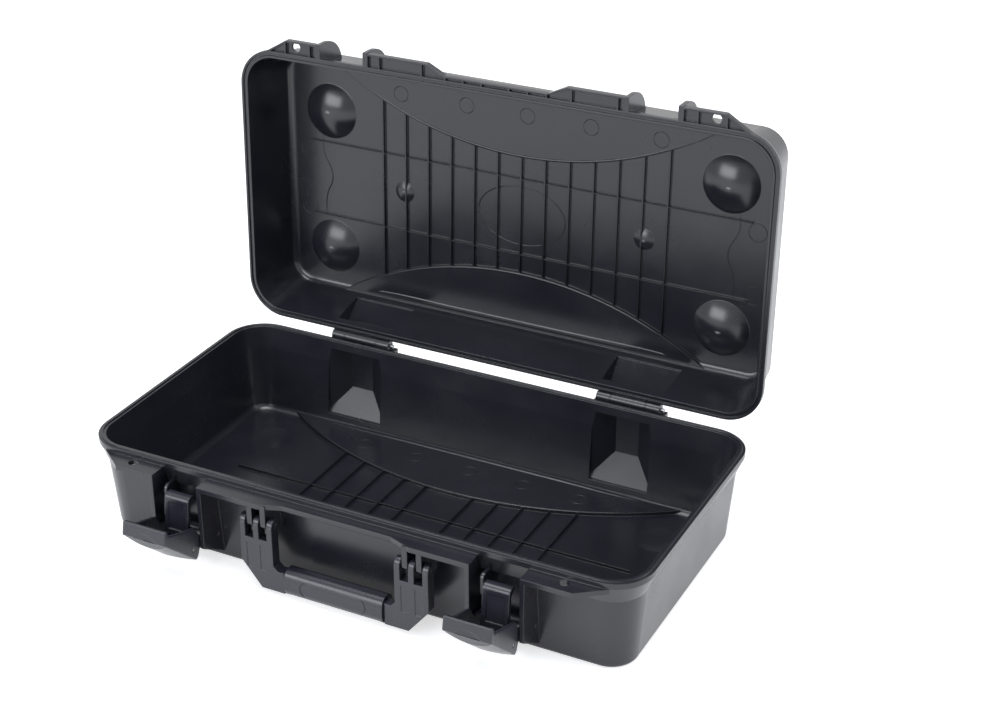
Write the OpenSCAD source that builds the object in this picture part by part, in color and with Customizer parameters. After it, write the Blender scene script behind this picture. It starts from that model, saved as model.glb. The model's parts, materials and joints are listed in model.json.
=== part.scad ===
// Hard case for binoculars: a deep base, a hinged lid, two hook latches and a folding handle.
// Millimetres. The origin is under the middle of the base, +X right, +Y to the hinges, +Z up.
// Every piece is drawn at rest: the lid stands open, the latches are undone, the handle hangs.

/* [Case] */
// Length over the rim beads
case_len = 470; // [450:5:490]
// Depth over the rim beads
case_depth = 238; // [228:2:248]
// Height of the base up to the parting plane
base_h = 80; // [79:1:86]
// Height of the lid above the parting plane
lid_h = 56; // [53:1:60]
// Wall thickness of both shells
wall = 3; // [2.6:0.1:3.2]
// Thickness of the base floor
floor_t = 3.6; // [3.2:0.1:4.2]
// Thickness of the lid panel
panel_t = 3.2; // [2.8:0.1:3.8]
// Outer corner radius of the rim in plan
corner_r = 32; // [28:1:36]
// Width of the flat rim face
rim_w = 6; // [5.6:0.2:6.4]
// Height of the bead along each rim
bead_h = 4.5; // [4:0.25:5]
// Height of the cove between the bead and the drafted wall
cove_h = 14.5; // [13:0.5:16]
// How far the cove draws the wall in
cove_in = 6; // [5.6:0.2:6.4]
// How far the wall leans in from the cove to the outer edge
draft_in = 5.2; // [4.4:0.2:5.6]
// Radius of the outer edge round the floor of the base
edge_r = 4; // [3:0.5:5]
// Radius of the outer edge round the top of the lid
crown_r = 12; // [10:0.5:13]
// Gap between the two rims when the case is shut
rim_gap = 0.3; // [0.2:0.05:0.4]
// Width of the tongue that stands on the base rim
tongue_w = 1.4; // [1.2:0.1:1.6]
// Height of the tongue
tongue_h = 1; // [0.8:0.1:1.2]

/* [Panels] */
// Pitch of the ribs on the floor and inside the lid
rib_pitch = 21.5; // [20:0.5:22]
// Thickness of a panel rib
panel_rib_t = 1.2; // [1:0.1:1.6]
// Radius of the long arcs at which the ribs end
arc_r = 308; // [290:2:320]
// How far the fields beyond the arcs are raised
field_h = 3; // [2:0.25:3.5]
// Base radius of the four large domes in the lid
dome_r = 24; // [20:0.5:25]
// Height of the large domes
dome_h = 8; // [5:0.5:9]

/* [Hinges] */
// Distance from the middle of the case to the middle of each hinge
hinge_x = 124; // [118:1:130]
// Distance of the hinge axis behind the rim bead
hinge_back = 5.2; // [5.2:0.1:5.8]
// Outer diameter of the hinge knuckles
knuckle_d = 8.8; // [8.2:0.1:9]
// Length of the middle knuckle, which belongs to the lid
mid_knuckle = 30.4; // [27:0.2:32]
// Length of each outer knuckle, which belongs to the base
end_knuckle = 12; // [10:0.5:13]
// Diameter of the hinge pins
hinge_pin_d = 3; // [2.6:0.1:3.4]
// Angle that the lid stands open
lid_open = 91.8; // [90.5:0.1:91.8]

/* [Handle] */
// Distance between the arms of the handle
arm_gap = 104; // [98:2:108]
// Width of each arm
arm_w = 28; // [27:0.5:29]
// Thickness of the frame
arm_t = 9; // [8:0.5:9.5]
// Distance from the handle pivot down to the bottom of the frame
handle_drop = 54.5; // [50:0.5:55]
// Width of each of the three fingers on an arm
finger_w = 4.6; // [4:0.1:5]
// Width of each base fin that the fingers straddle
fin_w = 4.5; // [3.5:0.1:5]
// Length of the grip
grip_len = 84; // [78:1:90]
// Height of the grip as it hangs
grip_h = 22; // [20:0.5:24]
// Depth of the grip from front to back
grip_d = 16; // [15:0.5:18]
// Diameter of the handle pins
handle_pin_d = 3; // [2.6:0.1:3.4]

/* [Latches] */
// Distance from the middle of the case to the middle of each latch hook
latch_x = 135.3; // [133:0.5:138]
// Width of the latch lever
lever_w = 38.4; // [36:0.3:39]
// How far each lever lies to the left of its hook
lever_shift = 2.8; // [2:0.2:3.4]
// Wall thickness of the lever
lever_t = 2.6; // [2.2:0.1:2.8]
// Angle through which the lever swings to close
lever_swing = 54; // [52:0.5:55]
// Width of the latch hook
hook_w = 21.3; // [18:0.3:24]
// Thickness of the hook plate
hook_t = 3.4; // [2.8:0.1:3.8]
// How far the hook reaches over the lid catch
hook_bite = 1.4; // [1:0.1:1.8]
// Diameter of the pin that the lever swings on
lever_pin_d = 3; // [2.6:0.1:3.2]
// Diameter of the pin that the hook swings on
hook_pin_d = 2.4; // [2:0.1:2.6]
// Play on each side of the lever between its ribs
lever_gap = 0.75; // [0.5:0.05:1.5]
// Thickness of the ribs beside each latch
rib_w = 3.5; // [3:0.1:4]

/* [Brow] */
// How far the brow stands out in front of the rim bead
brow_out = 15; // [14:0.5:16]
// Thickness of the brow plate
brow_t = 4; // [3.5:0.25:4.5]
// Diameter of the padlock holes
lock_d = 8; // [6.5:0.5:9]
// Distance from the middle of the case to each padlock hole
lock_x = 182; // [178:1:184]

/* [Hidden] */
$fn = 64;

shell_colour = "#3b3e46";
handle_colour = "#2f3137";
latch_colour = "#2b2d33";
steel_colour = "#a9abb0";
over = 1;           // how far a cutter runs past the face that it opens
sunk = 0.5;         // how deep a rib or a field stands in the panel that carries it
root_in = 4;        // how far the outer features run back into the wall
pin_play = 0.05;    // radial clearance of every pin in its bore
grip_play = 0.1;    // clearance between the grip and the frame inside it

front = -case_depth / 2;
back = case_depth / 2;
cx = case_len / 2 - corner_r;
cy = case_depth / 2 - corner_r;
inner_r = 6;               // inner radius round the floor and the lid panel
rib_h = field_h - 0.2;     // height of the panel ribs
line_t = 0.8;              // thickness of the thin lines that cross the ribs
panel_trim = 2.4;          // the raised fields end this far from the foot of the long walls
field_rim = 5;             // solid strip along the long wall beside the recess under a field

// Heights in the base, and how far its outer face lies inside the bead at a height
base_bead_z = base_h - bead_h;
base_cove_z = base_bead_z - cove_h;
function base_inset(z) = z >= base_bead_z ? 0
    : z >= base_cove_z ? cove_in * (base_bead_z - z) / cove_h
    : cove_in + draft_in * (base_cove_z - z) / base_cove_z;

// The lid is drawn shut, from its own face just over the parting plane
lid_z = base_h + rim_gap;
lid_top = base_h + lid_h;
lid_bead_z = base_h + bead_h;
lid_cove_z = lid_bead_z + cove_h;
function lid_inset(z) = z <= lid_bead_z ? 0
    : z <= lid_cove_z ? cove_in * (z - lid_bead_z) / cove_h
    : cove_in + draft_in * (z - lid_cove_z) / (lid_top - lid_cove_z);

// Hinge axis, as [y, z]
hinge_axis = [back + hinge_back, base_h + 1.5];
knuckle_gap = 0.3;
hinge_block_x = 62;        // length of the block under one hinge
hinge_block_y = 12;        // how far that block stands out behind the rim
pocket_back = back - cove_in - wall - 1; // where the pockets behind the hinges start
hinge_block_top = hinge_axis[1] - knuckle_d / 2 - knuckle_gap;

// Latch: lever pivot and hook pivot as [y, z], with the lever open, and the same for the lever shut
lever_drop = 55;           // lever pivot below the parting plane
barrel_r = 4;
barrel_gap = 1.2;          // between the barrel of the lever and the wall of the base
lever_axis = [front + base_inset(base_h - lever_drop) - barrel_gap - barrel_r, base_h - lever_drop];
hook_offset = [-26.9, -0.2];
hook_axis = lever_axis + hook_offset;
function swung(p, a) = [p[0] * cos(a) + p[1] * sin(a), p[1] * cos(a) - p[0] * sin(a)];
hook_axis_shut = lever_axis + swung(hook_offset, lever_swing);
catch_z = base_h + 3;      // ledge in the lid bead that the hook pulls on
hook_gap = 0.4;            // the hook clears the ledge by this when it is shut
nose_t = 3.2;
hook_rise = catch_z + hook_gap - hook_axis_shut[1];
hook_reach = front + hook_bite - hook_axis_shut[0];
hook_barrel_r = 2.6;
hook_set = 0.9;            // front face of the plate behind the hook pin
hook_lean = 0.12;          // how far the plate leans in for each millimetre of height
slot_play = 1;             // play on each side of the hook in the slot of the lid bead
slot_in = 3.5;             // depth of that slot behind the rim bead
slot_h = 10;

// Sides of the latch recess, from the middle of the hook
recess_left = -lever_shift - lever_w / 2 - lever_gap;
recess_right = -lever_shift + lever_w / 2 + lever_gap;
brow_y = front - brow_out;
brow_z = base_h - 4;       // top of the brow plate
lock_y = front - 5.4;
brow_in_x = 64;            // inner blocks of the brow run out from here
brow_lip_x = 46;           // a shallower lip lies between them
brow_out_x = 192;
brow_end_x = 213;
lip_out = 8.5;             // how far the lip stands out
rib_foot_z = 22;           // where the ribs beside the latches start to slant back
rib_toe_z = 5;
rib_toe_in = 1.5;
tab_w = 2.5;               // small round-topped tab beside each hook
tab_gap = 3.1;
tab_out = 10;
tab_top = 66.5;
tab_foot = 50;
tab_r = 4;
flange_out = 11;           // how far the flange of the lid stands out
flange_in_x = 60.5;
flange_lip_x = 45;
flange_end_x = 208.5;
flange_slant = 18.5;       // the front edge ends this far before that
flange_tail = [[14, 8.4], [4, 5.5], [-8.5, 4]];    // and it runs on into the round of the rim
flange_ribs = [11.4, 27.4, 43.4, 64.4, 102.8, 167.4, 190.4];
ear_out = 11.5;            // how far the fins beside each latch of the lid stand out
ear_r = 24;
ear_bend = 11;             // height of the middle of their round above the parting plane
ear_root = [9.2, 35];      // where they end on the wall, in from the rim and up from the plane

// Handle: pivot as [y, z]
handle_axis = [front - 10.5, base_h - 21.7];
finger_r = 5.2;
fin_r = 4;
frame_y = front - 16;      // front face of the frame
arm_x = arm_gap / 2 + arm_w / 2;
fin_pitch = (arm_w - finger_w) / 2;
fin_root = 12;             // height of the root of a fin below the pin
slot_depth = 12;
frame_z = handle_axis[1] - handle_drop;
bar_h = 16;                // the cross bar inside the grip
bar_in_y = 1;              // how far the bar lies inside the faces of the frame
bar_in_z = 1;
neck = 4;                  // overlap of arms and grip, and chamfer beside it
neck_h = 18;
grip_fore = 2;             // how far the grip stands out in front of the frame, and below it
grip_down = 1;
grip_z = frame_z - grip_down;
grip_y = frame_y - grip_fore;
bar_d = arm_t - 2 * bar_in_y;

// Points of an arc about c, from angle a0 to a1
function arc(c, r, a0, a1, n = 6) = [for (i = [0:n]) let (a = a0 + (a1 - a0) * i / n)
    [c[0] + r * cos(a), c[1] + r * sin(a)]];
function unit(v) = v / norm(v);
function turned(v) = [-v[1], v[0]];
// Corner i of the path p, moved t to its left
function shifted(p, i, t) = let (a = turned(unit(p[i] - p[i - 1])), b = turned(unit(p[i + 1] - p[i])))
    p[i] + t * (a + b) / (1 + a * b);
// First or last point of a path, moved t to its left
function shifted_end(p, i, j, t) = p[i] + t * turned(unit(j > i ? p[j] - p[i] : p[i] - p[j]));

// Carries a wall profile round the case. Its x is the distance out from the corner centres
module around() {
    for (q = [0:3]) {
        sx = q == 0 || q == 3 ? 1 : -1;
        sy = q < 2 ? 1 : -1;
        translate([sx * cx, sy * cy, 0]) rotate([0, 0, 90 * q]) rotate_extrude(angle = 90) children();
    }
    for (turn = [0, 180]) rotate([0, 0, turn]) {
        translate([cx, cy, 0]) rotate([90, 0, 0]) linear_extrude(2 * cy) children();
        translate([-cx, cy, 0]) rotate([90, 0, 90]) linear_extrude(2 * cx) children();
    }
}

// Extrudes a profile drawn as [y, z] from x = from to x = to
module across(from, to) {
    translate([from, 0, 0]) rotate([90, 0, 90]) linear_extrude(to - from) children();
}

// A round bar or bore along X through the point p = [y, z]
module rod(p, d, from, to) {
    translate([from, p[0], p[1]]) rotate([0, 90, 0]) cylinder(d = d, h = to - from);
}

// Draws its children on the right and mirrored on the left
module both_sides() {
    children();
    mirror([1, 0, 0]) children();
}

// Draws its children at both latches. The latches are alike and not mirrored
module both_latches() {
    for (s = [-1, 1]) translate([s * latch_x, 0, 0]) children();
}

// Round outline with straight sides, centred, w by h
module slot_outline(w, h) {
    square([w - h, h], center = true);
    for (s = [-1, 1]) translate([s * (w - h) / 2, 0]) circle(d = h);
}

module base_profile() {
    inner = wall + cove_in;
    lean = draft_in * (base_cove_z - edge_r) / base_cove_z;
    foot = corner_r - cove_in - lean;
    polygon(concat(
        [[corner_r - rim_w, base_h], [corner_r, base_h], [corner_r, base_bead_z],
         [corner_r - cove_in, base_cove_z]],
        arc([foot - edge_r, edge_r], edge_r, 0, -90),
        [[0, 0], [0, floor_t]],
        arc([foot - wall - inner_r, floor_t + inner_r], inner_r, -90, 0),
        [[corner_r - inner, base_cove_z]]));
}

module tongue_profile(w, h) {
    translate([corner_r - rim_w / 2 - w / 2, base_h - over]) square([w, h + over]);
}

// Clears a plan at both latches, from x = left to x = right of the middle of the hook
module latch_gaps(left, right) {
    difference() {
        both_sides() children();
        both_latches() translate([left, brow_y - over]) square([right - left, 2 * brow_out]);
    }
}

// Plan of the brow in front of the rim
module brow_plan() {
    root = front + root_in;
    latch_gaps(recess_left, recess_right) polygon([[-over, root], [-over, front - lip_out],
        [brow_lip_x, front - lip_out], [brow_in_x, brow_y], [brow_out_x, brow_y],
        [brow_end_x, front + over], [brow_end_x, root]]);
}

// Side view of a rib beside the latch recess
module rib_profile() {
    polygon([[front + root_in, brow_z], [brow_y, brow_z], [brow_y, rib_foot_z],
        [front + base_inset(rib_toe_z) + rib_toe_in, rib_toe_z],
        [front + cove_in + rib_toe_in, base_cove_z]]);
}

// Side view of a fin that carries the handle pin
module fin_profile() {
    root = front + cove_in + 2;
    polygon([[front + root_in, brow_z - over], [handle_axis[0] - fin_r, brow_z - over],
        [handle_axis[0] - fin_r, handle_axis[1]], [handle_axis[0], handle_axis[1] - fin_r],
        [root, handle_axis[1] - fin_root], [root, base_cove_z]]);
    translate(handle_axis) circle(fin_r);
}

// Side view of the small round-topped tab behind each hook
module tab_profile() {
    tab_y = front - tab_out;
    root = front + cove_in + 2;
    polygon([[root, tab_foot], [tab_y, tab_foot], [tab_y, tab_top - tab_r], [root, tab_top - tab_r]]);
    translate([tab_y + tab_r, tab_top - tab_r]) circle(tab_r);
    polygon([[tab_y + tab_r, tab_top - tab_r], [tab_y + tab_r, tab_top], [front + 3, tab_top],
        [root, tab_top - tab_r]]);
}

// The hinge pocket: a trapezoid in plan and a ramp from the side. grow makes the block round it
module hinge_pocket(grow) {
    wide = 25.7;
    narrow = 10;
    start = pocket_back - 5;
    deep = back + 4;
    toe_z = 13;
    ramp_z = 34;
    roof_z = base_h - 7;
    intersection() {
        translate([hinge_x, 0, -over]) linear_extrude(base_h) polygon([
            [-wide - grow, start], [wide + grow, start], [wide + grow, pocket_back + 1],
            [narrow + grow, deep + grow], [-narrow - grow, deep + grow], [-wide - grow, pocket_back + 1]]);
        across(hinge_x - wide - 2 * grow, hinge_x + wide + 2 * grow) polygon([
            [start, toe_z - grow], [pocket_back - 1, toe_z - grow], [deep + grow, ramp_z - grow],
            [deep + grow, roof_z], [start, roof_z]]);
    }
}

// The pocket leaves the inner space alone where it starts, so its block is cut flush inside
module hinge_block() {
    inside = back - cove_in - wall;
    block_foot = base_bead_z - 8;
    block_ramp = 6;
    intersection() {
        hinge_pocket(wall);
        across(0, case_len / 2) polygon([[back - rim_w, base_h], [inside, base_cove_z],
            [back - base_inset(10) - wall, 10], [back + case_depth, 0], [back + case_depth, base_h]]);
    }
    across(hinge_x - hinge_block_x / 2, hinge_x + hinge_block_x / 2) polygon([
        [back - root_in, base_h - rim_w], [back - root_in, block_foot], [back + root_in, block_foot],
        [back + hinge_block_y, block_foot + block_ramp], [back + hinge_block_y, hinge_block_top],
        [back - 2, hinge_block_top]]);
}

// Outer knuckles of a hinge, with the stems that stand on the block
module base_knuckles() {
    inner = mid_knuckle / 2 + knuckle_gap;
    for (s = [-1, 1]) {
        from = hinge_x + (s > 0 ? inner : -inner - end_knuckle);
        rod(hinge_axis, knuckle_d, from, from + end_knuckle);
        translate([from, hinge_axis[0] - knuckle_d / 2, hinge_block_top - over])
            cube([end_knuckle, knuckle_d, hinge_axis[1] - hinge_block_top + over]);
    }
}

// Lid knuckle with the leaf that lands on the base block when the lid is open
module lid_knuckle() {
    half = mid_knuckle / 2;
    reach = knuckle_d / 2;
    leaf_h = 7;
    leaf_top = hinge_axis[1] + cove_h + bead_h;
    rod(hinge_axis, knuckle_d, hinge_x - half, hinge_x + half);
    across(hinge_x - half, hinge_x + half) polygon([
        [back - 2, hinge_axis[1]], [hinge_axis[0] + reach, hinge_axis[1]],
        [hinge_axis[0] + reach, hinge_axis[1] + leaf_h], [back - 1, leaf_top],
        [back - cove_in - 1, leaf_top], [back - 3.5, lid_bead_z]]);
}

// Distance of the arc from its apex, to the side, at x
function arc_rise(x) = arc_r - sqrt(arc_r * arc_r - x * x);

// Plan of the field between an arc and a long wall, shrunk all round by trim. dir is +1 at the back wall
module arc_field(apex, dir, limit, trim) {
    half_x = case_len / 2 - 2 * corner_r;
    low = min(apex, dir * limit) - (dir < 0 ? -trim : 0);
    intersection() {
        translate([0, apex + dir * arc_r]) circle(arc_r - trim, $fn = 128);
        translate([-half_x - corner_r, low]) square([2 * half_x + 2 * corner_r, limit - abs(apex) - trim]);
    }
}

// Ribs from y = from to the arc at the back, and where near is true also from the arc at the front
module panel_ribs(ks, near, from, apex, z, h) {
    for (k = ks) {
        x = k * rib_pitch;
        start = near ? from - arc_rise(x) - over : from;
        translate([x - panel_rib_t / 2, start, z]) cube([panel_rib_t, apex + arc_rise(x) + over - start, h]);
    }
}

module base_shell() {
    inside = case_depth / 2 - base_inset(edge_r) - panel_trim;
    arc_apex = 45;
    cross_x = 178;
    cross_y = 6;
    dip = [179, 60];
    dip_r = 20;
    dip_ball = 130;
    dip_depth = 1.2;
    floor_rib_z = floor_t - sunk;
    recess_h = field_h + floor_t - wall;
    color(shell_colour) difference() {
        union() {
            around() base_profile();
            translate([-cx, -cy, 0]) cube([2 * cx, 2 * cy, floor_t]);
            around() tongue_profile(tongue_w, tongue_h);
            translate([0, 0, brow_z - brow_t]) linear_extrude(brow_t) brow_plan();
            both_sides() {
                for (s = [-1, 1]) across(arm_x + s * fin_pitch / 2 - fin_w / 2,
                    arm_x + s * fin_pitch / 2 + fin_w / 2) fin_profile();
                hinge_block();
                base_knuckles();
            }
            translate([0, 0, floor_rib_z]) linear_extrude(field_h + sunk) arc_field(arc_apex, 1, inside, 0);
            panel_ribs([-5, -4, -3, -2, -1, 1, 2, 3, 4, 5], false, -inside, arc_apex, floor_rib_z,
                rib_h + sunk);
            translate([-cross_x, cross_y, floor_rib_z]) cube([2 * cross_x, line_t, rib_h + sunk - 0.2]);
            both_latches() {
                for (x = [recess_left - rib_w, recess_right]) across(x, x + rib_w) rib_profile();
                tab_x = lever_t + tab_gap - lever_shift - lever_w / 2;
                across(tab_x, tab_x + tab_w) tab_profile();
            }
        }
        both_sides() {
            hinge_pocket(0);
            rod(hinge_axis, hinge_pin_d + 2 * pin_play, hinge_x - hinge_block_x / 2,
                hinge_x + hinge_block_x / 2);
            rod(handle_axis, handle_pin_d + 2 * pin_play, arm_x - arm_w / 2, arm_x + arm_w / 2);
            translate([lock_x, lock_y, brow_z - brow_t - over]) cylinder(d = lock_d, h = brow_t + 2 * over);
        }
        both_latches() rod(lever_axis, lever_pin_d + 2 * pin_play, recess_left - rib_w - over,
            recess_right + rib_w + over);
        translate([0, 0, -over]) linear_extrude(over + recess_h)
            arc_field(arc_apex, 1, inside - field_rim, wall);
        for (sx = [-1, 1], sy = [-1, 1]) translate([sx * dip[0], sy * dip[1], 0]) intersection() {
            translate([0, 0, floor_t - dip_depth + dip_ball]) sphere(dip_ball, $fn = 96);
            cylinder(r = dip_r, h = 12);
        }
    }
}

module lid_profile() {
    rise = lid_top - lid_cove_z;
    crown = corner_r - cove_in - draft_in * (rise - crown_r) / rise;
    inner = corner_r - cove_in - wall - draft_in * (rise - panel_t - inner_r) / rise;
    polygon(concat(
        [[corner_r, lid_z], [corner_r - rim_w, lid_z], [corner_r - cove_in - wall, lid_cove_z]],
        arc([inner - inner_r, lid_top - panel_t - inner_r], inner_r, 0, 90),
        [[0, lid_top - panel_t], [0, lid_top]],
        arc([crown - crown_r, lid_top - crown_r], crown_r, 90, 0, 8),
        [[corner_r - cove_in, lid_cove_z], [corner_r, lid_bead_z]]));
}

// Plan of the lid flange, shrunk all round by shrink
module flange_plan(shrink) {
    edge = front - flange_out + shrink;
    lip = front - 3.5 + shrink;
    root = front + root_in;
    latch_gaps(recess_left - rib_w + sunk - shrink, recess_right + rib_w - sunk + shrink)
        polygon(concat([[-over, root], [-over, lip], [flange_lip_x - shrink, lip],
            [flange_in_x + shrink, edge], [flange_end_x - flange_slant - shrink / 4, edge]],
            shrink > 0 ? [[flange_end_x - 2 * shrink, front], [flange_end_x - 2 * shrink, root]]
            : [for (p = flange_tail) [flange_end_x + p[0], front + p[1]]]));
}

// One rib across the cells of the flange
module flange_rib(x, t, h) {
    translate([x, front - 2 * flange_out, lid_z - 2 * over]) cube([t, 2 * flange_out + root_in, h]);
}

// The hollow flange along the front of the lid, open towards the base
module lid_flange() {
    flange_t = 5.5;
    plate_t = 2.5;
    skin = 1.5;
    cell_rib = 1.2;
    difference() {
        translate([0, 0, lid_z]) linear_extrude(flange_t - rim_gap) flange_plan(0);
        difference() {
            translate([0, 0, lid_z - over]) linear_extrude(flange_t - plate_t - rim_gap + over)
                difference() {
                    flange_plan(skin);
                    translate([-case_len / 2, front + 0.2]) square([case_len, 5 * root_in]);
                }
            both_sides() for (x = flange_ribs) flange_rib(x, cell_rib, flange_t);
        }
    }
}

// Side view of the fins that stand beside each latch on the lid
module ear_profile() {
    ear_y = front - ear_out;
    root = front + cove_in + 1;
    polygon(concat([[front + ear_root[0], lid_z + ear_root[1]], [root, lid_cove_z], [front + 3, lid_z],
        [ear_y, lid_z]], arc([ear_y + ear_r, lid_z + ear_bend], ear_r, 180, 105, 8)));
}

// The pocket behind the hinge inside the lid, and with grow the block round it
module lid_pocket(grow) {
    wide = 28;
    narrow = 24;
    start = pocket_back - 5;
    deep = back - 1;
    foot_z = lid_z + 7;
    ramp_z = lid_z + 20 + grow;
    top_z = lid_z + 42 + grow;
    intersection() {
        translate([hinge_x, 0, lid_z - over]) linear_extrude(lid_h) polygon([
            [-wide - grow, start], [wide + grow, start], [wide + grow, pocket_back],
            [narrow + grow, deep + grow], [-narrow - grow, deep + grow], [-wide - grow, pocket_back]]);
        across(hinge_x - wide - 2 * grow, hinge_x + wide + 2 * grow) polygon([
            [start, foot_z], [deep + grow, foot_z], [deep + grow, ramp_z],
            [pocket_back - 1, top_z], [start, top_z]]);
    }
}

module lid_block() {
    inside = back - cove_in - wall;
    intersection() {
        lid_pocket(2.4);
        across(0, case_len / 2) polygon([[back - rim_w, lid_z], [inside, lid_cove_z],
            [back - lid_inset(lid_top) - wall, lid_top], [back + case_depth, lid_top],
            [back + case_depth, lid_z]]);
    }
}

// A shallow dome of base radius r and height h, standing down from the lid panel
module dome(r, h, skin) {
    ball = (r * r + h * h) / (2 * h);
    translate([0, 0, lid_top - panel_t - h + ball]) sphere(ball - skin, $fn = 96);
}

module lid_shut() {
    panel_z = lid_top - panel_t;
    inside = case_depth / 2 - lid_inset(lid_top - inner_r) - panel_trim + 0.2;
    near = -47;
    far = 55;
    cross_x = 200;
    domes = [[180, -56], [179.5, 67]];
    small_dome = [109.5, 4];
    small_r = 9;
    small_h = 2.5;
    recess_h = field_h + panel_t - wall + 0.2;
    difference() {
        union() {
            around() lid_profile();
            translate([-cx, -cy, panel_z]) cube([2 * cx, 2 * cy, panel_t]);
            translate([0, 0, panel_z - field_h]) linear_extrude(field_h + sunk) {
                arc_field(near, -1, inside, 0);
                arc_field(far, 1, inside, 0);
            }
            panel_ribs([-6:6], true, near, far, panel_z - rib_h, rib_h + sunk);
            for (y = [-28, 38.6]) translate([-cross_x, y - line_t / 2, panel_z - rib_h + 0.2])
                cube([2 * cross_x, line_t, rib_h + sunk - 0.2]);
            lid_flange();
            both_latches() for (x = [recess_left - rib_w, recess_right]) across(x, x + rib_w) ear_profile();
            both_sides() {
                lid_block();
                lid_knuckle();
                for (d = domes) intersection() {
                    translate([d[0], d[1], 0]) dome(dome_r, dome_h, 0);
                    translate([d[0], d[1], panel_z - dome_h - over]) cylinder(r = dome_r + over,
                        h = dome_h + 2 * over);
                }
                intersection() {
                    translate(small_dome) dome(small_r, small_h, 0);
                    translate([small_dome[0], small_dome[1], panel_z - small_h - over])
                        cylinder(r = small_r + over, h = small_h + 2 * over);
                }
            }
        }
        both_sides() {
            lid_pocket(0);
            rod(hinge_axis, hinge_pin_d + 2 * pin_play, hinge_x - mid_knuckle, hinge_x + mid_knuckle);
            translate([lock_x, lock_y, lid_z - over]) cylinder(d = lock_d, h = ear_out);
            for (d = domes) translate([d[0], d[1], 0]) dome(dome_r, dome_h, panel_t);
        }
        both_latches() translate([-hook_w / 2 - slot_play, front - over, catch_z])
            cube([hook_w + 2 * slot_play, over + slot_in, slot_h]);
        around() translate([0, rim_gap]) tongue_profile(tongue_w + 0.8, tongue_h + 0.3);
        translate([0, 0, lid_top - recess_h]) linear_extrude(recess_h + over) {
            arc_field(near, -1, inside - field_rim, wall);
            arc_field(far, 1, inside - field_rim, wall);
        }
    }
}

// Turns what is drawn shut to the open position
module opened() {
    translate([0, hinge_axis[0], hinge_axis[1]]) rotate([-lid_open, 0, 0])
        translate([0, -hinge_axis[0], -hinge_axis[1]]) children();
}

module lid_shell() {
    color(shell_colour) opened() lid_shut();
}

module hinge_pin(side) {
    half = mid_knuckle / 2 + knuckle_gap + end_knuckle;
    color(steel_colour) rod(hinge_axis, hinge_pin_d, side * hinge_x - half, side * hinge_x + half + 3);
}

module handle_pin(side) {
    color(steel_colour) rod(handle_axis, handle_pin_d, side * arm_x - arm_w / 2, side * arm_x + arm_w / 2);
}

module lever_pin(side) {
    color(steel_colour) translate([side * latch_x, 0, 0])
        rod(lever_axis, lever_pin_d, recess_left - rib_w, recess_right + rib_w);
}

module hook_pin(side) {
    middle = side * latch_x - lever_shift;
    color(steel_colour) rod(hook_axis, hook_pin_d, middle - lever_w / 2, middle + lever_w / 2);
}

module handle_frame() {
    arm_in = arm_gap / 2;
    arm_out = arm_in + arm_w;
    bar_in = grip_len / 2 - neck;
    bar_top = frame_z + neck_h;
    bevel = [17, 21];
    line_w = 6;
    line_d = 0.5;
    line_z = frame_z + 16;
    line_h = 22;
    color(handle_colour) difference() {
        union() {
            both_sides() {
                translate([0, frame_y + arm_t, 0]) rotate([90, 0, 0]) linear_extrude(arm_t) polygon([
                    [bar_in, frame_z], [arm_out - bevel[0], frame_z], [arm_out, frame_z + bevel[1]],
                    [arm_out, handle_axis[1]], [arm_in, handle_axis[1]], [arm_in, bar_top + neck],
                    [arm_in - neck, bar_top], [bar_in, bar_top]]);
                rod(handle_axis, 2 * finger_r, arm_in, arm_out);
            }
            translate([-grip_len / 2, frame_y + bar_in_y, frame_z + bar_in_z]) cube([grip_len, bar_d, bar_h]);
        }
        both_sides() {
            for (s = [-1, 1]) translate([arm_x + s * fin_pitch / 2 - (fin_pitch - finger_w) / 2,
                frame_y - over, handle_axis[1] - slot_depth])
                cube([fin_pitch - finger_w, 2 * arm_t, slot_depth + finger_r + over]);
            rod(handle_axis, handle_pin_d + 2 * pin_play, arm_in - over, arm_out + over);
            for (s = [-1, 1]) translate([arm_x + s * fin_pitch / 2 - line_w / 2, frame_y - over, line_z])
                cube([line_w, over + line_d, line_h]);
        }
        for (y = [frame_y - over, frame_y + arm_t - bar_in_y])
            translate([-grip_len / 2 - over, y, frame_z - over])
            cube([grip_len + 2 * over, over + bar_in_y, neck_h + 2 * over]);
    }
}

module handle_grip() {
    r = 7;
    w = grip_d / 2 - r;
    h = grip_h / 2 - r;
    mark_w = 57;
    mark_h = 15;
    mark_line = 1;
    mark_d = 0.5;
    color(handle_colour) difference() {
        translate([0, grip_y + grip_d / 2, grip_z + grip_h / 2]) across(-grip_len / 2, grip_len / 2)
            polygon(concat(arc([w, h], r, 0, 90), arc([-w, h], r, 90, 180), arc([-w, -h], r, 180, 270),
                arc([w, -h], r, 270, 360)));
        translate([-grip_len, frame_y + bar_in_y - grip_play, frame_z + bar_in_z - grip_play])
            cube([2 * grip_len, bar_d + 2 * grip_play, bar_h + 2 * grip_play]);
        for (s = [-1, 1]) translate([s * (grip_len / 2 - neck) - neck - over,
            frame_y + bar_in_y - grip_play, frame_z - grip_play])
            cube([2 * neck + 2 * over, bar_d + 2 * grip_play, neck_h + 2 * grip_play]);
        translate([0, grip_y + mark_d, grip_z + grip_h / 2]) rotate([90, 0, 0])
            linear_extrude(mark_d + over) difference() {
                slot_outline(mark_w, mark_h);
                slot_outline(mark_w - 2 * mark_line, mark_h - 2 * mark_line);
            }
    }
}

// Side view of the lever about its pivot, open: first the outer skin from the bar to the bulge
lever_skin = [[-59.3, 33.7], [-61.6, 22.7], [-24.1, -10.9]];
lever_back = [[-21.1, -9.1], [-18.5, -3.1], [0, -barrel_r], [0, barrel_r], [-17.9, 7.5], [-22.1, 16.5],
    [-26, 18.3], [-41.6, 23.2], [-56.1, 28.7], [-56, 33.1]];

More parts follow.
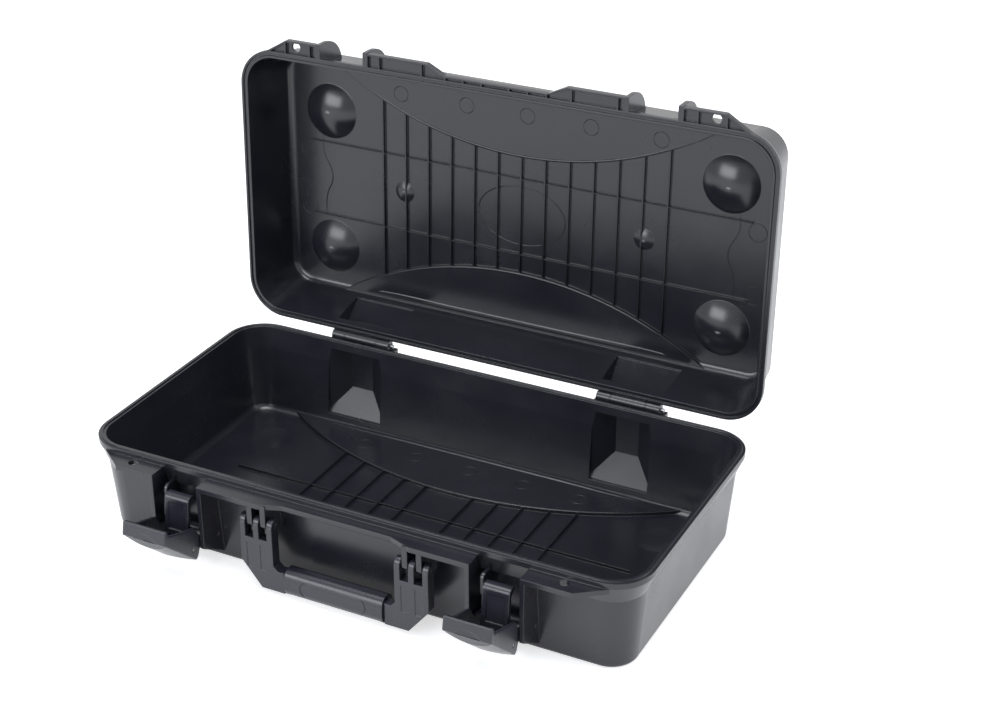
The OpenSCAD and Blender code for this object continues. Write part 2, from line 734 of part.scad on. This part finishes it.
module lever_hollow() {
    n = len(lever_skin) - 1;
    top = shifted_end(lever_skin, 0, 1, lever_t);
    tail = shifted_end(lever_skin, n, n - 1, lever_t);
    polygon(concat([[top[0], 50], top], [for (i = [1:n - 1]) shifted(lever_skin, i, lever_t)],
        [tail, [tail[0], -20], [20, -20], [20, 50]]));
}

// The belly under the lever: a skin that curves across its width
module lever_belly() {
    belly = 3.2;
    half = lever_w / 2 - 1;
    ball = (half * half + belly * belly) / (2 * belly);
    along = unit(lever_skin[2] - lever_skin[1]);
    into = turned(along);
    length = norm(lever_skin[2] - lever_skin[1]);
    middle = lever_skin[1] + length / 2 * along + (ball - belly) * into;
    intersection() {
        across(-lever_w / 2, lever_w / 2) polygon([lever_skin[1] + 3 * along,
            lever_skin[1] + 10 * along - belly * into, lever_skin[2] - 12 * along - belly * into,
            lever_skin[2], lever_skin[2] + lever_t / 2 * into,
            lever_skin[1] + 3 * along + lever_t / 2 * into]);
        translate([0, middle[0], middle[1]]) rotate([atan2(-along[0], along[1]), 0, 0])
            translate([0, 0, -length]) cylinder(r = ball, h = 2 * length, $fn = 128);
    }
}

module latch_lever(side) {
    scoop_w = 21;
    scoop_h = 4.5;
    scoop_d = 1.4;
    scoop_r = (scoop_w * scoop_w / 4 + scoop_h * scoop_h) / (2 * scoop_h);
    down = unit(lever_skin[1] - lever_skin[0]);
    into = turned(down);
    scoop = lever_skin[1] + (scoop_r - scoop_h) * down;
    color(latch_colour) translate([side * latch_x - lever_shift, 0, 0]) difference() {
        union() {
            translate([0, lever_axis[0], lever_axis[1]]) lever_belly();
            translate([0, lever_axis[0], lever_axis[1]]) difference() {
                across(-lever_w / 2, lever_w / 2) polygon(concat(lever_skin, lever_back));
                across(-lever_w / 2 + lever_t, lever_w / 2 - lever_t) lever_hollow();
                translate([0, scoop[0], scoop[1]]) rotate([atan2(-into[0], into[1]), 0, 0])
                    translate([0, 0, -over]) cylinder(r = scoop_r, h = over + scoop_d);
            }
            rod(lever_axis, 2 * barrel_r, -lever_w / 2, lever_w / 2);
        }
        rod(lever_axis, lever_pin_d + 2 * pin_play, -lever_w, lever_w);
        rod(hook_axis, hook_pin_d + 2 * pin_play, -lever_w, lever_w);
    }
}

module latch_hook(side) {
    top = hook_rise + nose_t;
    bend = 4;
    link_r = hook_barrel_r - 0.4;
    foot_z = 5;
    foot_y = hook_set + hook_lean * foot_z;
    face_y = hook_set + hook_lean * (top - bend);
    nose_r = 0.8;
    inset_side = 3.5;
    inset_z = 12;
    inset_h = 22;
    inset_d = 0.6;
    color(latch_colour) translate([side * latch_x, hook_axis[0], hook_axis[1]]) difference() {
        union() {
            rod([0, 0], 2 * hook_barrel_r, -hook_w / 2, hook_w / 2);
            across(-hook_w / 2, hook_w / 2) polygon(concat(
                [[foot_y + hook_t, foot_z], link_r * [cos(25), -sin(25)],
                 link_r * [-cos(40), sin(40)], [foot_y, foot_z]],
                arc([face_y + bend, top - bend], bend, 180, 90),
                [[hook_reach - nose_r, top], [hook_reach, top - nose_r], [hook_reach, hook_rise + nose_r],
                 [hook_reach - nose_r, hook_rise], [face_y + hook_t + 2.5, hook_rise],
                 [face_y + hook_t, hook_rise - 3]]));
        }
        rod([0, 0], hook_pin_d + 2 * pin_play, -hook_w, hook_w);
        translate([0, hook_set, 0]) rotate([-atan(hook_lean), 0, 0])
            translate([inset_side - hook_w / 2, -over, inset_z])
            cube([hook_w - 2 * inset_side, over + inset_d, inset_h]);
    }
}

base_shell();
lid_shell();
hinge_pin(-1);  // left_hinge_pin
hinge_pin(1);  // right_hinge_pin
handle_frame();
handle_grip();
handle_pin(-1);  // left_handle_pin
handle_pin(1);  // right_handle_pin
latch_lever(-1);  // left_latch_lever
latch_lever(1);  // right_latch_lever
latch_hook(-1);  // left_latch_hook
latch_hook(1);  // right_latch_hook
lever_pin(-1);  // left_lever_pin
lever_pin(1);  // right_lever_pin
hook_pin(-1);  // left_hook_pin
hook_pin(1);  // right_hook_pin
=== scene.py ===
from math import cos, pi, radians, sin, sqrt

import bmesh
import bpy
from mathutils import Matrix, Vector
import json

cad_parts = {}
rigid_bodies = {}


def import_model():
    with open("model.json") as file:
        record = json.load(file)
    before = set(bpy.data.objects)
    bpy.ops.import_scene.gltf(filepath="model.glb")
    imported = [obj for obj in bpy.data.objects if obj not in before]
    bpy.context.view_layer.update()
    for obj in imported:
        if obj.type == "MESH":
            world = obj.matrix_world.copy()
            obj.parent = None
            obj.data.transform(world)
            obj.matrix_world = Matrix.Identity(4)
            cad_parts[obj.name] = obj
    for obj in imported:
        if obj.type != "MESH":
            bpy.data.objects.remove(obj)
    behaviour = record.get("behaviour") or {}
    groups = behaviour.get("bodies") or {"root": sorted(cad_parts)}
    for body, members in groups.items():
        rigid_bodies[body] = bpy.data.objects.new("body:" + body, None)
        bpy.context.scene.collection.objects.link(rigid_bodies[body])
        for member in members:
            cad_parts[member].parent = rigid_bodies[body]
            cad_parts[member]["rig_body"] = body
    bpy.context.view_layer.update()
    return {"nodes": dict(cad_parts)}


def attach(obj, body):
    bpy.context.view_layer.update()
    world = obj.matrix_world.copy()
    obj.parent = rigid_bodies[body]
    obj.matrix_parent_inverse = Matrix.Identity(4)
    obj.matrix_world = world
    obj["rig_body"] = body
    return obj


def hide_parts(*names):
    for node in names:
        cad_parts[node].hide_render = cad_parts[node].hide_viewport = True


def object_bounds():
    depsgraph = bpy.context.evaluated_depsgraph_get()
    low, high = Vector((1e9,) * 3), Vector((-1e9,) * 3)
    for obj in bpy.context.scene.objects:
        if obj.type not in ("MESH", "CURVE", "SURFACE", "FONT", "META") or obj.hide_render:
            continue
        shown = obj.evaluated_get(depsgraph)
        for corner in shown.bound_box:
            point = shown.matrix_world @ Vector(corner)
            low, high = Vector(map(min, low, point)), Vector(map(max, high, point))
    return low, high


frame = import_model()
scene = bpy.context.scene


def linear(hexColour):
    # sRGB hex, as a colour picker shows it, to the linear colour that Blender wants
    out = []
    for i in (1, 3, 5):
        c = int(hexColour[i:i + 2], 16) / 255
        out.append(c / 12.92 if c <= 0.04045 else ((c + 0.055) / 1.055) ** 2.4)
    return (*out, 1)


def addNode(tree, kind, inputs=None, **settings):
    # a plain value goes on its socket, and an output socket is linked to it
    node = tree.nodes.new(kind)
    for key, value in settings.items():
        setattr(node, key, value)
    for key, value in (inputs or {}).items():
        if isinstance(value, bpy.types.NodeSocket):
            tree.links.new(value, node.inputs[key])
        else:
            node.inputs[key].default_value = value
    return node


def newMaterial(name):
    material = bpy.data.materials.new(name)
    material.use_nodes = True
    material.node_tree.nodes.clear()
    return material, material.node_tree


# Injection-moulded polypropylene of the shells: a near-black satin skin with faint flow clouds
# in its gloss and edges a little rounded. The real spark texture is finer than a pixel, so its
# grain is drawn at 1.3 mm, coarse enough to break the highlights up.
shellLook = {
    "colour": "#18191f",
    "cloudColour": "#212229",
    "roughnessLow": 0.19,
    "roughnessHigh": 0.3,
    "grainMm": 1.3,
    "grainDepthMm": 0.005,
    "cloudMm": 60,
    "edgeMm": 0.9,
    "specular": 0.55,
}

# Moulded glass-filled nylon of handle and latches: a touch lighter, with broader rounded edges
# that catch the light along the levers. Its grain is drawn coarser than the real one too.
nylonLook = {
    "colour": "#1c1d25",
    "cloudColour": "#272831",
    "roughnessLow": 0.22,
    "roughnessHigh": 0.32,
    "grainMm": 1.1,
    "grainDepthMm": 0.006,
    "cloudMm": 35,
    "edgeMm": 1.2,
    "specular": 0.55,
}


def mouldedPlastic(name, look):
    material, tree = newMaterial(name)
    coords = addNode(tree, "ShaderNodeTexCoord").outputs["Object"]
    grain = addNode(tree, "ShaderNodeTexNoise", {
        "Vector": coords, "Scale": 1000 / look["grainMm"], "Detail": 3.0, "Roughness": 0.6})
    clouds = addNode(tree, "ShaderNodeTexNoise", {
        "Vector": coords, "Scale": 1000 / look["cloudMm"], "Detail": 4.0, "Roughness": 0.55})
    colour = addNode(tree, "ShaderNodeMix", {
        0: clouds.outputs["Fac"], 6: linear(look["colour"]), 7: linear(look["cloudColour"])},
        data_type="RGBA")
    gloss = addNode(tree, "ShaderNodeMapRange", {
        "Value": clouds.outputs["Fac"], "From Min": 0.3, "From Max": 0.7,
        "To Min": look["roughnessLow"], "To Max": look["roughnessHigh"]})
    edge = addNode(tree, "ShaderNodeBevel", {"Radius": look["edgeMm"] / 1000}, samples=4)
    skin = addNode(tree, "ShaderNodeBump", {
        "Height": grain.outputs["Fac"], "Strength": 1.0,
        "Distance": look["grainDepthMm"] / 1000, "Normal": edge.outputs["Normal"]})
    plastic = addNode(tree, "ShaderNodeBsdfPrincipled", {
        "Base Color": colour.outputs[2], "Roughness": gloss.outputs["Result"],
        "IOR": 1.49, "Specular IOR Level": look["specular"], "Normal": skin.outputs["Normal"]})
    addNode(tree, "ShaderNodeOutputMaterial", {"Surface": plastic.outputs["BSDF"]})
    return material


shellPlastic = mouldedPlastic("moulded polypropylene", shellLook)
nylonPlastic = mouldedPlastic("moulded glass-filled nylon", nylonLook)

# Drawn steel rod of the pins: fine drawing marks along the axis, which lies along X, streak
# the shine of the short ends that show.
steelLook = {
    "colour": "#8d8f93",
    "roughnessLow": 0.22,
    "roughnessHigh": 0.38,
    "lineMm": 0.15,
    "lineLength": 12,  # how many times longer than wide
    "lineDepthMm": 0.004,
}
drawnSteel, tree = newMaterial("drawn steel rod")
coords = addNode(tree, "ShaderNodeTexCoord").outputs["Object"]
stretched = addNode(tree, "ShaderNodeMapping", {
    "Vector": coords, "Scale": (1, steelLook["lineLength"], steelLook["lineLength"])})
lines = addNode(tree, "ShaderNodeTexNoise", {
    "Vector": stretched.outputs["Vector"],
    "Scale": 1000 / (steelLook["lineMm"] * steelLook["lineLength"]), "Detail": 2.0})
shine = addNode(tree, "ShaderNodeMapRange", {
    "Value": lines.outputs["Fac"], "To Min": steelLook["roughnessLow"],
    "To Max": steelLook["roughnessHigh"]})
marks = addNode(tree, "ShaderNodeBump", {
    "Height": lines.outputs["Fac"], "Strength": 1.0,
    "Distance": steelLook["lineDepthMm"] / 1000})
metal = addNode(tree, "ShaderNodeBsdfPrincipled", {
    "Base Color": linear(steelLook["colour"]), "Metallic": 1.0,
    "Roughness": shine.outputs["Result"], "Normal": marks.outputs["Normal"]})
addNode(tree, "ShaderNodeOutputMaterial", {"Surface": metal.outputs["BSDF"]})

for name, node in frame["nodes"].items():
    if name.endswith("_pin"):
        material = drawnSteel
    elif name.endswith("_shell"):
        material = shellPlastic
    else:
        material = nylonPlastic
    node.data.materials.clear()
    node.data.materials.append(material)
print("materials on the carried nodes")


def evaluated(piece):
    # bakes the live modifiers of a piece into a plain mesh
    depsgraph = bpy.context.evaluated_depsgraph_get()
    mesh = bpy.data.meshes.new_from_object(piece.evaluated_get(depsgraph))
    piece.modifiers.clear()
    piece.data = mesh
    return mesh


def rolled(names, look):
    # copies of CAD nodes with their moulded edges rolled, which ride in place of the nodes
    for name in names:
        mesh = frame["nodes"][name].data.copy()
        mesh.name = name + "_rounded"
        work = bmesh.new()
        work.from_mesh(mesh)
        bmesh.ops.remove_doubles(work, verts=work.verts, dist=0.00001)
        bmesh.ops.dissolve_limit(
            work, angle_limit=radians(1.5), verts=work.verts, edges=work.edges)
        work.to_mesh(mesh)
        work.free()
        mesh.materials.clear()
        mesh.materials.append(nylonPlastic)
        piece = bpy.data.objects.new(name + "_rounded", mesh)
        scene.collection.objects.link(piece)
        bevel = piece.modifiers.new("rolled edges", "BEVEL")
        bevel.width = look["rollMm"] / 1000
        bevel.segments = look["segments"]
        bevel.limit_method = "ANGLE"
        bevel.angle_limit = radians(look["fromDegrees"])
        bevel.use_clamp_overlap = look["clamped"]
        evaluated(piece)
        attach(piece, frame["nodes"][name].get("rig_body"))
        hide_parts(name)


# The levers that a thumb pulls have the widest roll on their edges
lever = {"rollMm": 0.8, "segments": 3, "fromDegrees": 32, "clamped": False}
rolled(["left_latch_lever", "right_latch_lever"], lever)

hook = {"rollMm": 0.6, "segments": 2, "fromDegrees": 32, "clamped": True}
rolled(["left_latch_hook", "right_latch_hook"], hook)

handleFrame = {"rollMm": 0.7, "segments": 3, "fromDegrees": 32, "clamped": True}
rolled(["handle_frame"], handleFrame)
print("rolled edges on latches and handle")

# Moulded lines: a node tree sweeps a low half-round bead along each chain of edges. The profile
# is a flat row of points, and each point is then lifted off the moulded face by its "lift".
# Open lines run out at both ends, where "rise" falls off.
mouldedLine = bpy.data.node_groups.new("moulded line", "GeometryNodeTree")
sockets = mouldedLine.interface
sockets.new_socket("Path", in_out="INPUT", socket_type="NodeSocketGeometry")
for name in ("Width", "Height", "Sunk", "Up"):
    sockets.new_socket(name, in_out="INPUT", socket_type="NodeSocketFloat")
sockets.new_socket("Plastic", in_out="INPUT", socket_type="NodeSocketMaterial")
sockets.new_socket("Line", in_out="OUTPUT", socket_type="NodeSocketGeometry")
given = addNode(mouldedLine, "NodeGroupInput").outputs
place = addNode(mouldedLine, "ShaderNodeSeparateXYZ", {
    0: addNode(mouldedLine, "GeometryNodeInputPosition").outputs[0]}).outputs

arc = addNode(mouldedLine, "GeometryNodeCurveArc", {
    "Resolution": 7, "Radius": 1.0, "Start Angle": 0.0, "Sweep Angle": pi})
arc = addNode(mouldedLine, "GeometryNodeSetSplineCyclic", {0: arc.outputs[0], 2: True})
arc = addNode(mouldedLine, "GeometryNodeStoreNamedAttribute", {
    "Geometry": arc.outputs[0], "Name": "lift", "Value": place["Y"]},
    data_type="FLOAT", domain="POINT")
half = addNode(mouldedLine, "ShaderNodeMath", {0: given["Width"], 1: 0.5}, operation="MULTIPLY")
across = addNode(mouldedLine, "ShaderNodeMath", {
    0: place["X"], 1: half.outputs[0]}, operation="MULTIPLY")
row = addNode(mouldedLine, "ShaderNodeCombineXYZ", {"X": across.outputs[0]})
profile = addNode(mouldedLine, "GeometryNodeSetPosition", {
    0: arc.outputs[0], "Position": row.outputs[0]})

along = addNode(mouldedLine, "GeometryNodeSplineParameter").outputs["Factor"]
left = addNode(mouldedLine, "ShaderNodeMath", {0: 1.0, 1: along}, operation="SUBTRACT")
toEnd = addNode(mouldedLine, "ShaderNodeMath", {0: along, 1: left.outputs[0]}, operation="MINIMUM")
ramp = addNode(mouldedLine, "ShaderNodeMath", {
    0: toEnd.outputs[0], 1: 3.0, 2: 0.15}, operation="MULTIPLY_ADD")
capped = addNode(mouldedLine, "ShaderNodeMath", {0: ramp.outputs[0], 1: 1.0}, operation="MINIMUM")
closedLine = addNode(mouldedLine, "GeometryNodeInputSplineCyclic").outputs[0]
rise = addNode(mouldedLine, "ShaderNodeMath", {
    0: capped.outputs[0], 1: closedLine}, operation="MAXIMUM")
path = addNode(mouldedLine, "GeometryNodeMeshToCurve", {0: given["Path"]})
path = addNode(mouldedLine, "GeometryNodeSetCurveNormal", {0: path.outputs[0]}, mode="Z_UP")
path = addNode(mouldedLine, "GeometryNodeStoreNamedAttribute", {
    "Geometry": path.outputs[0], "Name": "rise", "Value": rise.outputs[0]},
    data_type="FLOAT", domain="POINT")
swept = addNode(mouldedLine, "GeometryNodeCurveToMesh", {
    "Curve": path.outputs[0], "Profile Curve": profile.outputs[0], "Fill Caps": True})

liftHere = addNode(mouldedLine, "GeometryNodeInputNamedAttribute", {"Name": "lift"},
                   data_type="FLOAT").outputs["Attribute"]
riseHere = addNode(mouldedLine, "GeometryNodeInputNamedAttribute", {"Name": "rise"},
                   data_type="FLOAT").outputs["Attribute"]
full = addNode(mouldedLine, "ShaderNodeMath", {
    0: given["Height"], 1: given["Sunk"]}, operation="ADD")
share = addNode(mouldedLine, "ShaderNodeMath", {0: liftHere, 1: riseHere}, operation="MULTIPLY")
bead = addNode(mouldedLine, "ShaderNodeMath", {
    0: share.outputs[0], 1: full.outputs[0]}, operation="MULTIPLY")
proud = addNode(mouldedLine, "ShaderNodeMath", {
    0: bead.outputs[0], 1: given["Sunk"]}, operation="SUBTRACT")
level = addNode(mouldedLine, "ShaderNodeMath", {
    0: proud.outputs[0], 1: given["Up"], 2: place["Z"]}, operation="MULTIPLY_ADD")
lifted = addNode(mouldedLine, "ShaderNodeCombineXYZ", {
    "X": place["X"], "Y": place["Y"], "Z": level.outputs[0]})
line = addNode(mouldedLine, "GeometryNodeSetPosition", {
    0: swept.outputs[0], "Position": lifted.outputs[0]})
for name in ("lift", "rise"):
    line = addNode(mouldedLine, "GeometryNodeRemoveAttribute", {
        "Geometry": line.outputs[0], "Name": name})
line = addNode(mouldedLine, "GeometryNodeRealizeInstances", {0: line.outputs[0]})
line = addNode(mouldedLine, "GeometryNodeSetMaterial", {
    "Geometry": line.outputs[0], "Material": given["Plastic"]})
addNode(mouldedLine, "NodeGroupOutput", {0: line.outputs[0]})

# Lines of the lid are drawn with the lid shut and turned to the open rest position
lidHinge = {"place": (0, 0.1242, 0.0815), "openDegrees": 91.8}
hinge = Vector(lidHinge["place"])
openLid = (Matrix.Translation(hinge)
           @ Matrix.Rotation(radians(-lidHinge["openDegrees"]), 4, "X")
           @ Matrix.Translation(-hinge))


def drawLines(name, paths, look, body):
    # paths: a list of (x, y) in mm, the level of the moulded face, and whether the line closes
    points, edges = [], []
    for path, faceMm, closed in paths:
        first = len(points)
        points += [(x / 1000, y / 1000, faceMm / 1000) for x, y in path]
        edges += [(i, i + 1) for i in range(first, len(points) - 1)]
        if closed:
            edges.append((len(points) - 1, first))
    mesh = bpy.data.meshes.new(name)
    mesh.from_pydata(points, edges, [])
    piece = bpy.data.objects.new(name, mesh)
    scene.collection.objects.link(piece)
    sweep = piece.modifiers.new("moulded line", "NODES")
    sweep.node_group = mouldedLine
    values = {
        "Width": look["widthMm"] / 1000, "Height": look["heightMm"] / 1000,
        "Sunk": look["sunkMm"] / 1000, "Up": 1.0 if body == "base" else -1.0,
        "Plastic": shellPlastic}
    for socket in mouldedLine.interface.items_tree:
        if socket.name in values:
            sweep[socket.identifier] = values[socket.name]
    mesh = evaluated(piece)
    if body == "lid":
        mesh.transform(openLid)
    work = bmesh.new()
    work.from_mesh(mesh)
    bmesh.ops.recalc_face_normals(work, faces=work.faces)
    work.to_mesh(mesh)
    work.free()
    mesh.shade_smooth()
    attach(piece, body)


def arcLine(apexMm, bend, look, count=97):
    # the curved edge of a raised field, whose middle is at y = apexMm
    radius, reach = look["radiusMm"], look["reachMm"]
    xs = [reach * (2 * i / (count - 1) - 1) for i in range(count)]
    return [(x, apexMm + bend * (radius - sqrt(radius * radius - x * x))) for x in xs]


def ovalLine(x, y, halfX, halfY, count=40):
    return [(x + halfX * cos(2 * pi * i / count), y + halfY * sin(2 * pi * i / count))
            for i in range(count)]


def bendLine(corners, count=40):
    # a smooth line through a few corners, in quadratic parts between their middles
    out = []
    mids = [((a[0] + b[0]) / 2, (a[1] + b[1]) / 2) for a, b in zip(corners[1:-2], corners[2:-1])]
    mids = [corners[0], *mids, corners[-1]]
    for a, c, b in zip(mids, corners[1:-1], mids[1:]):
        for i in range(count):
            t = i / count
            out.append(tuple((1 - t) ** 2 * a[j] + 2 * t * (1 - t) * c[j] + t * t * b[j]
                             for j in (0, 1)))
    return [*out, corners[-1]]


# Rolled edges of the raised fields, which draw the bright curves in the photograph
baseFieldEdge = {"widthMm": 2.4, "heightMm": 0.45, "sunkMm": 0.4, "faceMm": 6.6,
                 "apexMm": 46.2, "reachMm": 176, "radiusMm": 308}
drawLines("base_field_edge", [
    (arcLine(baseFieldEdge["apexMm"], 1, baseFieldEdge), baseFieldEdge["faceMm"], False)],
    baseFieldEdge, "base")

lidFieldEdges = {"widthMm": 2.4, "heightMm": 0.45, "sunkMm": 0.4, "faceMm": 129.8,
                 "frontApexMm": -48.2, "rearApexMm": 56.2, "reachMm": 176, "rearReachMm": 160,
                 "radiusMm": 308}
rearEdge = {**lidFieldEdges, "reachMm": lidFieldEdges["rearReachMm"]}
drawLines("lid_field_edges", [
    (arcLine(lidFieldEdges["frontApexMm"], -1, lidFieldEdges), lidFieldEdges["faceMm"], False),
    (arcLine(lidFieldEdges["rearApexMm"], 1, rearEdge), lidFieldEdges["faceMm"], False)],
    lidFieldEdges, "lid")
print("edges of the raised fields")

# The rounded feet of the long walls on the hinge side, the long bright lines of the photograph
baseWallFoot = {"widthMm": 5.5, "heightMm": 0.9, "sunkMm": 0.4, "faceMm": 6.6,
                "yMm": 102.6, "reachMm": 168}
lidWallFoot = {"widthMm": 5.5, "heightMm": 0.9, "sunkMm": 0.4, "faceMm": 129.8,
               "yMm": 100.6, "reachMm": 152}
for name, look, body in (("base_wall_foot", baseWallFoot, "base"),
                         ("lid_wall_foot", lidWallFoot, "lid")):
    xs = range(-look["reachMm"], look["reachMm"] + 1, 8)
    drawLines(name, [([(x, look["yMm"]) for x in xs], look["faceMm"], False)], look, body)
print("rounded feet of the long walls")

# Thin raised lines of the lid panel: the oval in the middle and the wavy line at each end
lidPanelLines = {"widthMm": 1.3, "heightMm": 0.5, "sunkMm": 0.3, "faceMm": 132.8,
                 "oval": (0, 5, 39.5, 25.5),
                 "wave": [(186, -41), (193, -22), (177, 2), (190, 24), (186, 46)]}
panelFace = lidPanelLines["faceMm"]
drawLines("lid_panel_lines", [
    (ovalLine(*lidPanelLines["oval"], count=72), panelFace, True),
    (bendLine(lidPanelLines["wave"]), panelFace, False),
    (bendLine([(-x, y) for x, y in lidPanelLines["wave"]]), panelFace, False)],
    lidPanelLines, "lid")
print("lines of the lid panel")

# Rings left by the ejector pins of the mould, on the raised fields and on the panels
lidEjectorMarks = {"widthMm": 0.9, "heightMm": 0.25, "sunkMm": 0.3,
                   "fieldMm": 129.8, "fieldRadiusMm": 6.5, "panelMm": 132.8, "panelRadiusMm": 7.5,
                   "onField": [(x, -83) for x in (-111, -50, 5, 61, 121)],
                   "onPanel": [(x, y) for x in (-204, 204) for y in (-20, 34)]}
baseEjectorMarks = {"widthMm": 0.9, "heightMm": 0.25, "sunkMm": 0.3,
                    "fieldMm": 6.6, "fieldRadiusMm": 6.5, "panelMm": 3.6, "panelRadiusMm": 6.5,
                    "onField": [(x, 82) for x in (-100, -50, 0, 50, 100)],
                    "onPanel": [(-140, -60), (140, -60)]}
for name, look, body in (("lid_ejector_marks", lidEjectorMarks, "lid"),
                         ("base_ejector_marks", baseEjectorMarks, "base")):
    onField = [(ovalLine(x, y, look["fieldRadiusMm"], look["fieldRadiusMm"]), look["fieldMm"], True)
               for x, y in look["onField"]]
    onPanel = [(ovalLine(x, y, look["panelRadiusMm"], look["panelRadiusMm"]), look["panelMm"], True)
               for x, y in look["onPanel"]]
    drawLines(name, onField + onPanel, look, body)
print("ejector rings")


def whiteRays(tree):
    # 1 for the rays that show the backdrop: straight, in reflections and through glass
    rays = addNode(tree, "ShaderNodeLightPath").outputs
    seen = addNode(tree, "ShaderNodeMath", {
        0: rays["Is Camera Ray"], 1: rays["Is Glossy Ray"]}, operation="MAXIMUM")
    seen = addNode(tree, "ShaderNodeMath", {
        0: seen.outputs[0], 1: rays["Is Transmission Ray"]}, operation="MAXIMUM")
    return seen.outputs[0]


# White studio floor: matt paper that keeps the shadow of the case, lifted towards white
studioFloor = {"colour": "#e8e8e8", "glow": 0.6, "halfWidth": 6, "gapBelow": 0.0003}
floorMaterial, tree = newMaterial("white studio floor")
fill = addNode(tree, "ShaderNodeMath", {
    0: whiteRays(tree), 1: studioFloor["glow"]}, operation="MULTIPLY")
paper = addNode(tree, "ShaderNodeBsdfDiffuse", {"Color": linear(studioFloor["colour"])})
glow = addNode(tree, "ShaderNodeEmission", {
    "Color": linear("#ffffff"), "Strength": fill.outputs[0]})
both = addNode(tree, "ShaderNodeAddShader", {0: paper.outputs[0], 1: glow.outputs[0]})
addNode(tree, "ShaderNodeOutputMaterial", {"Surface": both.outputs[0]})

s = studioFloor["halfWidth"]
floorMesh = bpy.data.meshes.new("floor")
floorMesh.from_pydata([(-s, -s, 0), (s, -s, 0), (s, s, 0), (-s, s, 0)], [], [(0, 1, 2, 3)])
floorMesh.materials.append(floorMaterial)
floor = bpy.data.objects.new("floor", floorMesh)
scene.collection.objects.link(floor)
floor.location.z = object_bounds()[0][2] - studioFloor["gapBelow"]

# White room, which lights the case softly and at a plain level
studio = {"softColour": "#f4f6fa", "softLight": 0.55, "white": "#ffffff"}
world = bpy.data.worlds.new("studio")
scene.world = world
world.use_nodes = True
tree = world.node_tree
tree.nodes.clear()
soft = addNode(tree, "ShaderNodeBackground", {
    "Color": linear(studio["softColour"]), "Strength": studio["softLight"]})
white = addNode(tree, "ShaderNodeBackground", {"Color": linear(studio["white"]), "Strength": 1.0})
sky = addNode(tree, "ShaderNodeMixShader", {
    0: whiteRays(tree), 1: soft.outputs[0], 2: white.outputs[0]})
addNode(tree, "ShaderNodeOutputWorld", {"Surface": sky.outputs[0]})
print("floor and room")

# name, place, aim, width, height, watts
lamps = [
    ("overhead softbox", (-0.1, -0.2, 1.7), (0, 0, 0.1), 1.3, 0.8, 20),
    ("right softbox", (1.7, 0.5, 1.0), (0.1, 0, 0.1), 1.2, 1.0, 16),
    ("front softbox", (-0.7, -1.8, 0.8), (0, 0, 0.1), 1.5, 0.9, 26),
]
lampColour = (0.93, 0.95, 1.0)
for name, place, aim, width, height, watts in lamps:
    data = bpy.data.lights.new(name, "AREA")
    data.shape = "RECTANGLE"
    data.size, data.size_y, data.energy = width, height, watts
    data.color = lampColour
    lamp = bpy.data.objects.new(name, data)
    scene.collection.objects.link(lamp)
    lamp.location = place
    lamp.rotation_euler = (Vector(aim) - Vector(place)).to_track_quat("-Z", "Y").to_euler()

# The camera that the straight edges of both shells in the photograph were fitted with
photoCamera = {"place": (0.6416, -1.1409, 0.8355), "headingDegrees": 26.61,
               "tiltDegrees": 90 - 27.64, "lensMm": 69.67, "sensorMm": 36}
cameraData = bpy.data.cameras.new("photo camera")
cameraData.sensor_fit = "HORIZONTAL"
cameraData.sensor_width = photoCamera["sensorMm"]
cameraData.lens = photoCamera["lensMm"]
camera = bpy.data.objects.new("photo camera", cameraData)
scene.collection.objects.link(camera)
camera.matrix_world = (
    Matrix.Translation(photoCamera["place"])
    @ Matrix.Rotation(radians(photoCamera["headingDegrees"]), 4, "Z")
    @ Matrix.Rotation(radians(photoCamera["tiltDegrees"]), 4, "X"))
scene.camera = camera
scene.view_settings.view_transform = "Standard"
print("lamps and camera")
